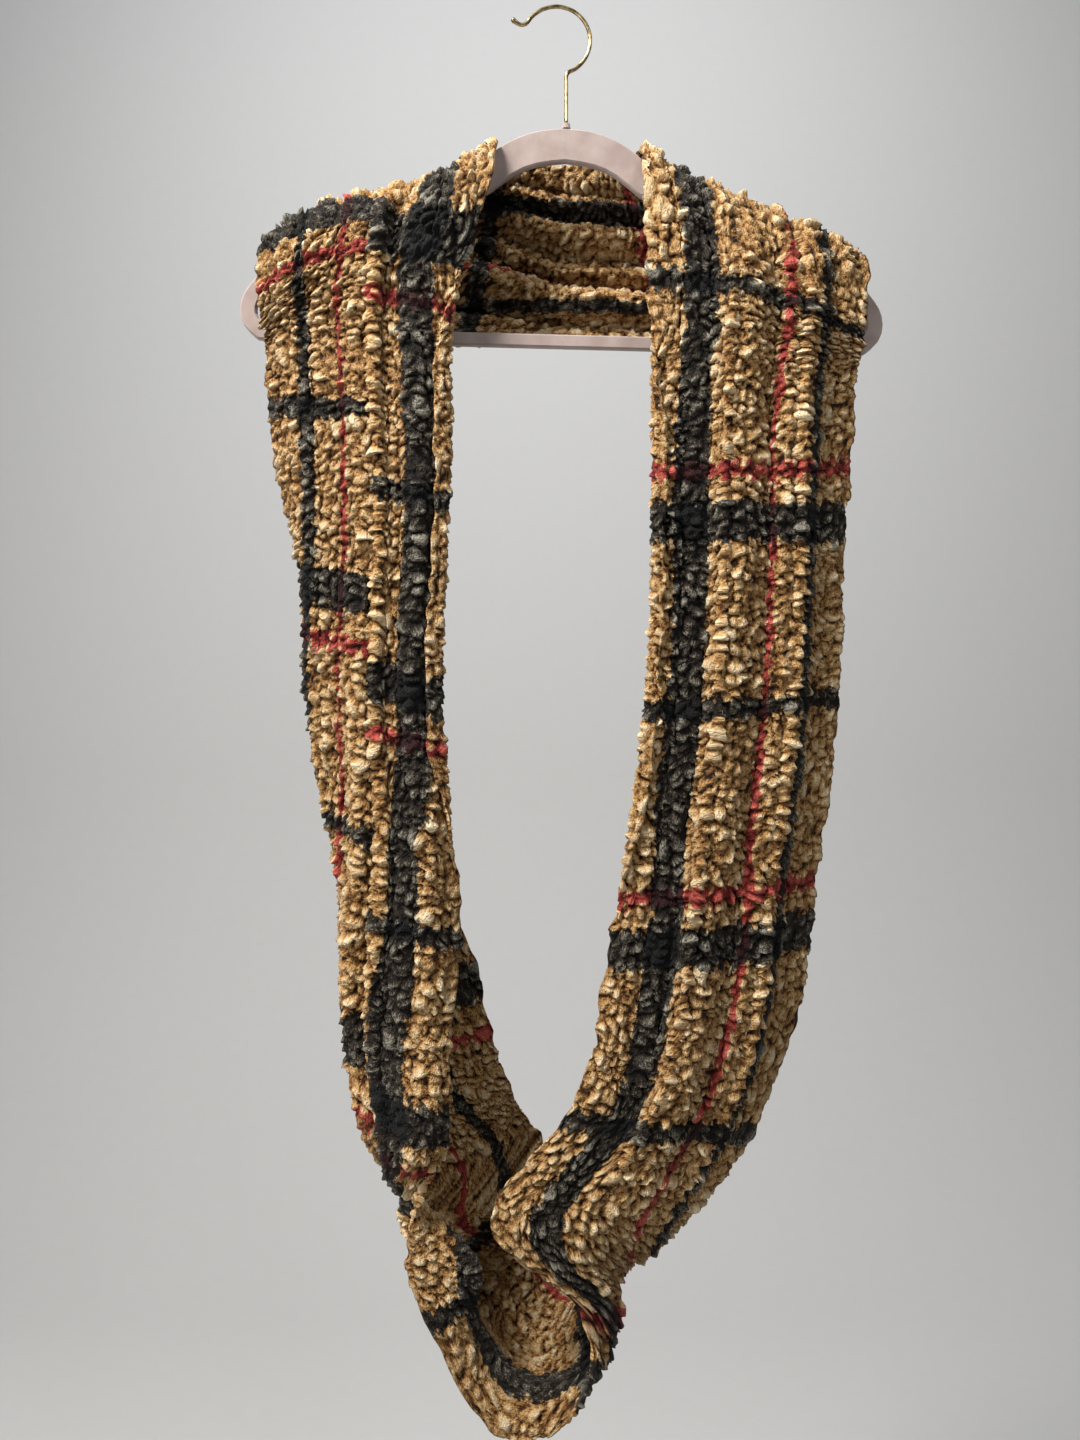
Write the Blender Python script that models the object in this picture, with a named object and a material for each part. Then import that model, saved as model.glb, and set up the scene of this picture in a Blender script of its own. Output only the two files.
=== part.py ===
"""Loop scarf of puckered cloth hung over a flocked hanger with a wire hook.

Metres, +Z up, +X to the right and -Y towards the viewer. The origin is the inner top of the hook.
"""

import math

import bmesh
import bpy
import numpy as np

MM = 0.001

# Cloth: the wall of puckered cloth, the gap between two stretches, and the rise of the cloth's ribs.
CLOTH_WALL = 3.0 * MM
CLOTH_SEAM_GAP = 0.8 * MM
RIB_RISE = 1.0 * MM
SEAT_GAP = 0.3 * MM
CELLS_ACROSS = 24
SAMPLES_ACROSS = 120

# The cloth hangs this far beside the hook, because the hanger isn't quite balanced.
CLOTH_SHIFT = -2.0 * MM

# Hanger: a flat frame with an arched neck, a straight bar and round ends.
HANGER_THICKNESS = 6.0 * MM
HANGER_EDGE = 1.3 * MM
HANGER_TOP = (3.5 * MM, -85.0 * MM)
HANGER_TILT = math.radians(1.5)
COLLAR_RADIUS = 3.3 * MM
COLLAR_HEIGHT = 3.6 * MM

# Hook: brass wire bent to three quarters of a circle, with a small outward curl at its end.
WIRE_RADIUS = 1.35 * MM
HOOK_RADIUS = 23.8 * MM
HOOK_CENTRE = (-3.5 * MM, -22.45 * MM)
HOOK_START = math.radians(-69)
HOOK_END = math.radians(147)
HOOK_STEPS = 30

# The cloth's sections round the loop, in millimetres: the neck edge first, the outer edge last.
# number, neck edge, inner band, middle, outer band, outer edge
SECTIONS = (
    (0, (4, 26, -95), (3, 32, -132), (2, 34, -167), (1, 32, -200), (0, 25, -228)),  # behind neck
    (1, (-38, 20, -97), (-50, 31, -130), (-62, 32, -164), (-76, 32, -197), (-90, 26, -230)),
    (2, (-46, 10, -99), (-82, 16, -127), (-118, 18, -147), (-156, 20, -171), (-190, 18, -204)),
    (3, (-43, 0, -94), (-82, 0, -119), (-121, 0, -132), (-164, 0, -145), (-202, 0, -166)),  # left crest
    (4, (-45, -17, -122), (-82, -25, -142), (-123, -26, -155), (-164, -24, -170), (-205, -12, -198)),
    (5, (-66, -24, -203), (-96, -33, -208), (-131, -31, -213), (-168, -26, -220), (-202, -10, -232)),
    (6, (-71, -26, -295), (-102, -35, -298), (-135, -31, -302), (-168, -26, -308), (-197, -6, -312)),  # left
    (7, (-74, -28, -388), (-104, -37, -390), (-137, -33, -392), (-170, -22, -394), (-176, 8, -394)),
    (8, (-76, -30, -480), (-106, -39, -480), (-139, -33, -480), (-172, -12, -480), (-154, 16, -480)),
    (9, (-70, -32, -570), (-99, -41, -570), (-131, -34, -569), (-162, -8, -568), (-122, 19, -568)),
    (10, (-67, -36, -655), (-95, -45, -654), (-126, -36, -652), (-150, -4, -650), (-67, 19, -650)),
    (11, (-73, -43, -728), (-98, -50, -728), (-124, -40, -726), (-137, -5, -724), (-46, 19, -728)),
    (12, (-78, -54, -786), (-97, -58, -790), (-115, -41, -792), (-110, -4, -792), (-27, 18, -772)),  # sling
    (12.5, (-90, -61, -808), (-97, -38, -812), (-106, -27, -816), (-87, 3, -816), (-16, 18, -790)),
    (13, (-98, -60, -834), (-65, -49, -838), (-98, -27, -840), (-56, 6, -838), (-6, 17, -806)),
    (14, (-83, -64, -890), (-57, -51, -884), (-56, -24, -884), (-29, 5, -868), (14, 15, -830)),
    (15, (-51, -65, -946), (-43, -54, -926), (-35, -24, -914), (-13, 5, -892), (30, 10, -848)),  # lowest
    (16, (-12, -65, -959), (-9, -54, -938), (-4, -25, -926), (11, 0, -900), (42, 3, -860)),
    (17, (18, -62, -922), (25, -47, -920), (28, -22, -905), (33, -6, -884), (58, -2, -862)),
    (17.5, (4, -60, -868), (31, -52, -876), (46, -30, -872), (56, -12, -868), (74, -5, -852)),
    (18, (-37, -59, -836), (4, -62, -842), (40, -42, -846), (68, -20, -850), (88, -7, -838)),  # turn
    (19, (-9, -52, -772), (27, -56, -779), (63, -49, -786), (97, -28, -796), (120, -8, -804)),
    (20, (24, -44, -700), (57, -50, -704), (92, -46, -708), (128, -30, -712), (162, -8, -712)),
    (21, (37, -40, -612), (71, -46, -614), (106, -42, -616), (142, -28, -618), (177, -8, -616)),
    (22, (50, -36, -524), (84, -42, -526), (119, -38, -528), (156, -26, -528), (190, -8, -526)),  # right
    (23, (58, -32, -434), (92, -38, -436), (128, -36, -438), (164, -26, -438), (195, -8, -440)),
    (24, (60, -28, -340), (94, -36, -342), (131, -34, -344), (168, -26, -346), (200, -8, -346)),
    (25, (60, -26, -250), (94, -34, -252), (132, -33, -254), (170, -26, -256), (206, -10, -256)),
    (26, (59, -20, -150), (90, -26, -162), (128, -28, -176), (169, -26, -194), (212, -12, -214)),
    (27, (57, 0, -97), (92, 0, -122), (131, 0, -140), (172, 0, -158), (210, 0, -177)),  # right crest
    (28, (54, 10, -101), (90, 16, -131), (127, 18, -154), (165, 20, -178), (198, 18, -207)),
    (29, (44, 20, -98), (56, 31, -131), (68, 32, -165), (82, 32, -199), (94, 26, -231)),
)

# The number at which the loop is closed again.
ROUND = 30

# Folds and valleys that run along the cloth, between two section numbers. Their place across goes from 0 at
# the neck edge to 1 at the outer edge, given at the first section, halfway and at the last. Half width and
# height are in millimetres, with outwards positive, and lean is how far the fold falls to the outer edge.
# first, last, across at first, halfway, at last, half width, height, lean
FOLDS = (
    (3.2, 12.3, 0.41, 0.33, 0.22, 15, 8, 0.5),
    (3.4, 12.3, 0.55, 0.47, 0.38, 9, -9, -0.2),
    (4.0, 10.0, 0.74, 0.66, 0.50, 14, 4, -0.3),
    (5.0, 12.0, 0.20, 0.14, 0.05, 7, -3, 0.0),
    (7.5, 12.5, 0.62, 0.60, 0.58, 18, 4, 0.0),
    (12.5, 17.5, 0.34, 0.32, 0.30, 16, -4, 0.0),
    (13.0, 18.2, 0.56, 0.54, 0.52, 16, 6, 0.4),
    (17.6, 26.6, 0.24, 0.25, 0.26, 20, 5, 0.3),
    (18.5, 26.6, 0.42, 0.40, 0.43, 9, -9, -0.4),
    (18.5, 26.6, 0.55, 0.54, 0.56, 14, 6, 0.3),
    (18.8, 26.6, 0.70, 0.69, 0.68, 9, -7, -0.3),
    (19.5, 26.6, 0.83, 0.84, 0.84, 18, 4, 0.2),
    (-1.8, 1.8, 0.27, 0.24, 0.06, 10, -8, -0.2),
    (-1.6, 1.6, 0.39, 0.36, 0.14, 7, 6, 0.0),
    (-1.9, 1.9, 0.57, 0.52, 0.22, 14, -16, 0.3),
    (-1.8, 1.8, 0.77, 0.72, 0.46, 10, 9, 0.0),
    (-1.6, 1.6, 0.93, 0.92, 0.84, 11, -4, 0.0),
)

# Gathers over each arm of the hanger: section number of the crest, and the count.
ARM_GATHERS = ((3.0, 7), (27.0, 7))
GATHER_RISE = 1.8
GATHER_REACH = 1.3

# The border turned under at the neck edge: first and last section, and the share of the width.
TURNED_UNDER = ((4.5, 9.4, 0.10), (20.6, 25.5, 0.08))
TURN_GAP = 7.0
TURN_ROUND = 0.022

# Stretches of the loop: node, first and last section, and the length of a row of faces in millimetres.
STRETCHES = (
    ("scarf_behind_neck", -1.7, 1.7, 20),
    ("scarf_left_shoulder", 1.7, 4.4, 8),
    ("scarf_left_front", 4.4, 12.4, 24),
    ("scarf_sling", 12.4, 17.8, 15),
    ("scarf_right_front", 17.8, 25.6, 24),
    ("scarf_right_shoulder", 25.6, 28.3, 8),
)

# Right half of the hanger's frame, in millimetres from its top: outer x and z, inner x and z.
HANGER_OUTLINE = (
    (0, 0.0, 0, -23.0),
    (17, -1.7, 20, -26.0),
    (34, -7.2, 37, -33.5),
    (49, -16.5, 52, -45.0),
    (62, -27.5, 64, -51.0),
    (80, -39.0, 84, -60.0),
    (110, -52.5, 112, -70.0),
    (150, -70.0, 148, -84.5),
    (180, -83.0, 176, -97.0),
    (195, -91.0, 190, -104.5),
    (206, -100.5, 199, -111.0),
    (215, -111.0, 205.5, -118.0),
    (221.5, -120.0, 210.5, -124.0),
    (224.5, -131.0, 213, -131.0),
    (221.5, -143.0, 211, -138.0),
    (214, -150.5, 206, -142.5),
    (202, -153.0, 199, -144.0),
    (150, -153.0, 150, -144.0),
    (100, -153.0, 100, -144.0),
    (50, -153.0, 50, -144.0),
    (0, -153.0, 0, -144.0),
)

# Finishes: colour, roughness and metallic of each.
FINISHES = {
    "cloth": ((0.45, 0.28, 0.11), 0.8, 0.0),
    "flock": ((0.55, 0.42, 0.39), 0.95, 0.0),
    "brass": ((0.62, 0.45, 0.2), 0.28, 1.0),
}


def clear_scene():
    for obj in list(bpy.data.objects):
        bpy.data.objects.remove(obj, do_unlink=True)


def material(name, finish):
    colour, roughness, metallic = FINISHES[finish]
    made = bpy.data.materials.new(name)
    made.use_nodes = True
    shader = made.node_tree.nodes["Principled BSDF"]
    shader.inputs["Base Color"].default_value = (*colour, 1)
    shader.inputs["Roughness"].default_value = roughness
    shader.inputs["Metallic"].default_value = metallic
    return made


def add_object(name, data, finish):
    obj = bpy.data.objects.new(name, data)
    bpy.context.scene.collection.objects.link(obj)
    obj.data.materials.append(material(name, finish))
    return obj


def smooth_step(value):
    value = np.clip(value, 0, 1)
    return value * value * (3 - 2 * value)


def hermite(knots, values, slopes, where):
    """Cubic pieces through the values with the given slopes."""
    piece = np.clip(np.searchsorted(knots, where, side="right") - 1, 0, len(knots) - 2)
    step = (knots[piece + 1] - knots[piece])[:, None]
    part = (where - knots[piece])[:, None] / step
    return (
        values[piece] * (1 + 2 * part) * (1 - part) ** 2
        + values[piece + 1] * part**2 * (3 - 2 * part)
        + slopes[piece] * step * part * (1 - part) ** 2
        - slopes[piece + 1] * step * part**2 * (1 - part)
    )


def loop_slopes(knots, values):
    """Slopes of the smooth closed curve through the values. The last value repeats the first."""
    count = len(knots) - 1
    step = np.diff(knots)
    rise = np.diff(values, axis=0) / step[:, None]
    rows = np.zeros((count, count))
    right = np.zeros((count, values.shape[1]))
    for i in range(count):
        before = step[i - 1]
        after = step[i]
        rows[i, i - 1] += after
        rows[i, i] += 2 * (before + after)
        rows[i, (i + 1) % count] += before
        right[i] = 3 * (after * rise[i - 1] + before * rise[i])
    slopes = np.linalg.solve(rows, right)
    return np.vstack([slopes, slopes[:1]])


def open_slopes(values):
    """Slopes of the smooth open curve through values one unit apart, straight at its ends."""
    count = len(values)
    rows = np.eye(count) * 4
    rows[0, 0] = rows[-1, -1] = 2
    for i in range(count - 1):
        rows[i, i + 1] = rows[i + 1, i] = 1
    right = np.zeros_like(values)
    right[0] = 3 * (values[1] - values[0])
    right[-1] = 3 * (values[-1] - values[-2])
    right[1:-1] = 3 * (values[2:] - values[:-2])
    return np.linalg.solve(rows, right)


class Cloth:
    """The middle surface of the loop, as a function of the section number and the place across."""

    def __init__(self):
        net = np.array([row[1:] for row in SECTIONS], float) * MM
        net[:, :, 0] += CLOTH_SHIFT
        self.numbers = np.array([row[0] for row in SECTIONS] + [ROUND], float)
        closed = np.concatenate([net, net[:1]])
        middle = closed[:, 2]
        steps = np.linalg.norm(np.diff(middle, axis=0), axis=1)
        self.knots = np.concatenate([[0], np.cumsum(steps)])
        self.values = closed.reshape(len(closed), -1)
        self.slopes = loop_slopes(self.knots, self.values)
        guides = np.eye(5)
        across = np.linspace(0, 4, SAMPLES_ACROSS)
        self.blend = hermite(np.arange(5.0), guides, open_slopes(guides), across)

    def length_at(self, section):
        """Distance along the middle guide at a section number, which may lie outside one round."""
        whole = np.floor(section / ROUND)
        inside = section - whole * ROUND
        return whole * self.knots[-1] + np.interp(inside, self.numbers, self.knots)

    def section_at(self, length):
        whole = np.floor(length / self.knots[-1])
        inside = length - whole * self.knots[-1]
        return whole * ROUND + np.interp(inside, self.knots, self.numbers)

    def plain(self, length, across):
        """Points at equal shares of each section's own width."""
        inside = np.mod(length, self.knots[-1])
        guides = hermite(self.knots, self.values, self.slopes, inside).reshape(-1, 5, 3)
        curve = np.einsum("sg,rgc->rsc", self.blend, guides)
        steps = np.linalg.norm(np.diff(curve, axis=1), axis=2)
        run = np.concatenate([np.zeros((len(curve), 1)), np.cumsum(steps, axis=1)], axis=1)
        width = run[:, -1]
        points = np.empty((*across.shape, 3))
        for i, row in enumerate(curve):
            for axis in range(3):
                points[i, :, axis] = np.interp(across[i] * width[i], run[i], row[:, axis])
        return points, width

    def folded(self, length, across):
        """The plain points with the border turned under, and with the folds and gathers moved out."""
        section = self.section_at(length)[:, None] + 0 * across
        turned = np.zeros_like(across)
        for first, last, share in TURNED_UNDER:
            turned += share * span(section, first, last, 1.2)
        away = across - turned
        rounding = TURN_ROUND * np.clip(turned / 0.03, 0, 1)
        rounded = np.sqrt(away**2 + rounding**2)
        place = np.clip(rounded / (1 - turned), 0, 1)
        back = 0.5 * (1 - away / np.maximum(rounded, 1e-6))
        under = -TURN_GAP * MM * np.clip(turned / 0.007, 0, 1) * back
        points, width = self.plain(length, place)
        out = under.copy()
        side = np.zeros_like(out)
        for first, last, start, halfway, end, half, height, lean in FOLDS:
            for turn in (0, ROUND):
                centre = np.interp(section - turn, (first, (first + last) / 2, last), (start, halfway, end))
                off = (place - centre) * width[:, None] / (half * MM)
                bell = np.exp(-(off**2)) * span(section - turn, first, last, 0.8) * (away > 0)
                out += height * MM * bell
                side += abs(height) * lean * MM * bell
        for crest, count in ARM_GATHERS:
            near = np.exp(-(((section - crest) / GATHER_REACH) ** 2))
            out += GATHER_RISE * MM * near * np.cos(2 * np.pi * count * across + crest)
        return points, out, side

    def form(self, length, across):
        """Points of the folded middle surface."""
        small_step = 1.5 * MM
        small_share = 0.006
        points, out, side = self.folded(length, across)
        ahead = self.plain(length + small_step, across)[0]
        behind = self.plain(length - small_step, across)[0]
        wide = self.plain(length, np.clip(across + small_share, 0, 1))[0]
        narrow = self.plain(length, np.clip(across - small_share, 0, 1))[0]
        along = unit(ahead - behind)
        sideways = unit(wide - narrow)
        normal = unit(np.cross(along, sideways))
        return points + normal * out[..., None] + sideways * side[..., None]


def span(section, first, last, ramp):
    """One between two section numbers, falling smoothly to nothing at both."""
    return smooth_step((section - first) / ramp) * smooth_step((last - section) / ramp)


def unit(vectors):
    return vectors / np.maximum(np.linalg.norm(vectors, axis=-1, keepdims=True), 1e-12)


def cloth_wall(cloth, first, last, row_length):
    """Outer and inner points of one stretch, with its two cut ends half a seam gap short."""
    start = cloth.length_at(first)
    end = cloth.length_at(last)
    rows = round((end - start) / (row_length * MM))
    length = np.linspace(start, end, rows + 1)
    across = np.tile(np.linspace(0, 1, CELLS_ACROSS + 1), (rows + 1, 1))
    points = cloth.form(length, across)
    step = 1.0 * MM
    share = 0.004
    along = unit(cloth.form(length + step, across) - cloth.form(length - step, across))
    wide = cloth.form(length, np.clip(across + share, 0, 1))
    narrow = cloth.form(length, np.clip(across - share, 0, 1))
    normal = unit(np.cross(along, unit(wide - narrow)))
    points[0] += along[0] * CLOTH_SEAM_GAP / 2
    points[-1] -= along[-1] * CLOTH_SEAM_GAP / 2
    rib = RIB_RISE * (np.arange(CELLS_ACROSS + 1) % 2)
    outer = points + normal * (CLOTH_WALL / 2 + rib[None, :, None])
    inner = points - normal * CLOTH_WALL / 2
    return outer, inner


def closed_sheet(name, outer, inner):
    """A closed wall between two grids of points."""
    rows, columns = outer.shape[:2]
    mesh = bmesh.new()
    front = [[mesh.verts.new(point) for point in row] for row in outer]
    back = [[mesh.verts.new(point) for point in row] for row in inner]
    for i in range(rows - 1):
        for j in range(columns - 1):
            mesh.faces.new((front[i][j], front[i + 1][j], front[i + 1][j + 1], front[i][j + 1]))
            mesh.faces.new((back[i][j], back[i][j + 1], back[i + 1][j + 1], back[i + 1][j]))
    for i in range(rows - 1):
        mesh.faces.new((front[i][0], back[i][0], back[i + 1][0], front[i + 1][0]))
        mesh.faces.new((front[i][-1], front[i + 1][-1], back[i + 1][-1], back[i][-1]))
    for j in range(columns - 1):
        mesh.faces.new((front[0][j], front[0][j + 1], back[0][j + 1], back[0][j]))
        mesh.faces.new((front[-1][j], back[-1][j], back[-1][j + 1], front[-1][j + 1]))
    bmesh.ops.triangulate(mesh, faces=mesh.faces[:])
    bmesh.ops.recalc_face_normals(mesh, faces=mesh.faces[:])
    data = bpy.data.meshes.new(name)
    mesh.to_mesh(data)
    mesh.free()
    data.shade_smooth()
    return data


def build_scarf():
    cloth = Cloth()
    for name, first, last, row_length in STRETCHES:
        outer, inner = cloth_wall(cloth, first, last, row_length)
        add_object(name, closed_sheet(name, outer, inner), "cloth")


def hanger_loops():
    """Outer and inner outlines of the frame, all the way round, in its own tilted place."""
    half = np.array(HANGER_OUTLINE) * MM
    slopes = open_slopes(half)
    fine = hermite(np.arange(float(len(half))), half, slopes, np.linspace(0, len(half) - 1, 41))
    mirrored = fine[-2:0:-1] * (-1, 1, -1, 1)
    whole = np.vstack([fine, mirrored])
    sine = math.sin(HANGER_TILT)
    cosine = math.cos(HANGER_TILT)
    loops = []
    for x, z in ((whole[:, 0], whole[:, 1]), (whole[:, 2], whole[:, 3])):
        turned_x = HANGER_TOP[0] + x * cosine + z * sine
        turned_z = HANGER_TOP[1] - x * sine + z * cosine
        loops.append(np.stack([turned_x, turned_z], axis=1))
    return loops


def build_hanger_frame():
    outer, inner = hanger_loops()
    count = len(outer)
    mesh = bmesh.new()
    sheets = []
    for y in (-HANGER_THICKNESS / 2, HANGER_THICKNESS / 2):
        sheets.append([[mesh.verts.new((x, y, z)) for x, z in loop] for loop in (outer, inner)])
    near, far = sheets
    for i in range(count):
        k = (i + 1) % count
        mesh.faces.new((near[0][i], near[0][k], near[1][k], near[1][i]))
        mesh.faces.new((far[0][k], far[0][i], far[1][i], far[1][k]))
        mesh.faces.new((near[0][k], near[0][i], far[0][i], far[0][k]))
        mesh.faces.new((near[1][i], near[1][k], far[1][k], far[1][i]))
    bmesh.ops.recalc_face_normals(mesh, faces=mesh.faces[:])
    data = bpy.data.meshes.new("hanger_frame")
    mesh.to_mesh(data)
    mesh.free()
    frame = add_object("hanger_frame", data, "flock")
    edge = frame.modifiers.new("edge", "BEVEL")
    edge.width = HANGER_EDGE
    edge.segments = 1
    edge.limit_method = "ANGLE"
    edge.angle_limit = math.radians(60)


def build_collar():
    mesh = bmesh.new()
    bmesh.ops.create_cone(
        mesh,
        cap_ends=True,
        segments=20,
        radius1=COLLAR_RADIUS,
        radius2=COLLAR_RADIUS * 0.8,
        depth=COLLAR_HEIGHT,
    )
    data = bpy.data.meshes.new("hanger_collar")
    mesh.to_mesh(data)
    mesh.free()
    collar = add_object("hanger_collar", data, "flock")
    collar.location = (HANGER_TOP[0], 0, HANGER_TOP[1] + SEAT_GAP + COLLAR_HEIGHT / 2)


def hook_points():
    """The wire's middle line: up the stem, round the circle, and out into the curl."""
    foot = HANGER_TOP[1] + COLLAR_HEIGHT + 2 * SEAT_GAP
    stem_x = HANGER_TOP[0]
    points = [(stem_x, foot), (stem_x, foot + 15 * MM), (stem_x, foot + 28 * MM), (stem_x, foot + 33 * MM)]
    for step in range(HOOK_STEPS + 1):
        angle = HOOK_START + (HOOK_END - HOOK_START) * step / HOOK_STEPS
        x = HOOK_CENTRE[0] + HOOK_RADIUS * math.cos(angle)
        z = HOOK_CENTRE[1] + HOOK_RADIUS * math.sin(angle)
        points.append((x, z))
    last_x, last_z = points[-1]
    for right, up in ((-2.0, -1.6), (-4.4, -1.9), (-6.8, -1.0), (-9.0, 0.6), (-11.0, 2.4)):
        points.append((last_x + right * MM, last_z + up * MM))
    return points


def build_hook():
    points = hook_points()
    data = bpy.data.curves.new("hanger_hook", "CURVE")
    data.dimensions = "3D"
    data.bevel_depth = WIRE_RADIUS
    data.bevel_resolution = 2
    data.use_fill_caps = True
    wire = data.splines.new("POLY")
    wire.points.add(len(points) - 1)
    for point, (x, z) in zip(wire.points, points):
        point.co = (x, 0, z, 1)
    wire.points[-1].radius = 1.3
    wire.points[-2].radius = 1.4
    add_object("hanger_hook", data, "brass")


clear_scene()
build_scarf()
build_hanger_frame()
build_collar()
build_hook()
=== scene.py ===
# Loop scarf of puckered plaid cloth on a flocked hanger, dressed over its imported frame.
# Metres, +Z up, -Y towards the viewer. The origin is the inner top of the hook.

import math

import bpy
import numpy as np
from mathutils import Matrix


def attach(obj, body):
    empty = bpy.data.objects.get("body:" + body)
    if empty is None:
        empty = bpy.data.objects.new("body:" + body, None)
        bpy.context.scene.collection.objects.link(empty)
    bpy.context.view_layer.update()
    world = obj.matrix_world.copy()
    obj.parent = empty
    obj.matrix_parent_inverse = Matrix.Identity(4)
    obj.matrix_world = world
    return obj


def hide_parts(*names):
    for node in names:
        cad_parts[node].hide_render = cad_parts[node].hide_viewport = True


mm = 0.001
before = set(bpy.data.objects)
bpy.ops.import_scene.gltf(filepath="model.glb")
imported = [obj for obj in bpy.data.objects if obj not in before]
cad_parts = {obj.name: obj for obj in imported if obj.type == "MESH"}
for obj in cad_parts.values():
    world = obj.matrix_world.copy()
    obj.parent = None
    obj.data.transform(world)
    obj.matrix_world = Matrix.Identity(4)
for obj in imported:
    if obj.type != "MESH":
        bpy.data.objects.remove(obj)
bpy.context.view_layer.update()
print("frame loaded:", len(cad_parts), "nodes")


# The cloth's form: the same sections and folds as the solids have. A place on it is given by its length
# along the loop and its share of the way across from the neck edge. The normal points to the cloth's
# underside: away from the viewer at both fronts, down to the hanger on its arms, and towards the viewer
# behind the neck. Heights above zero go that way.

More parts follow.
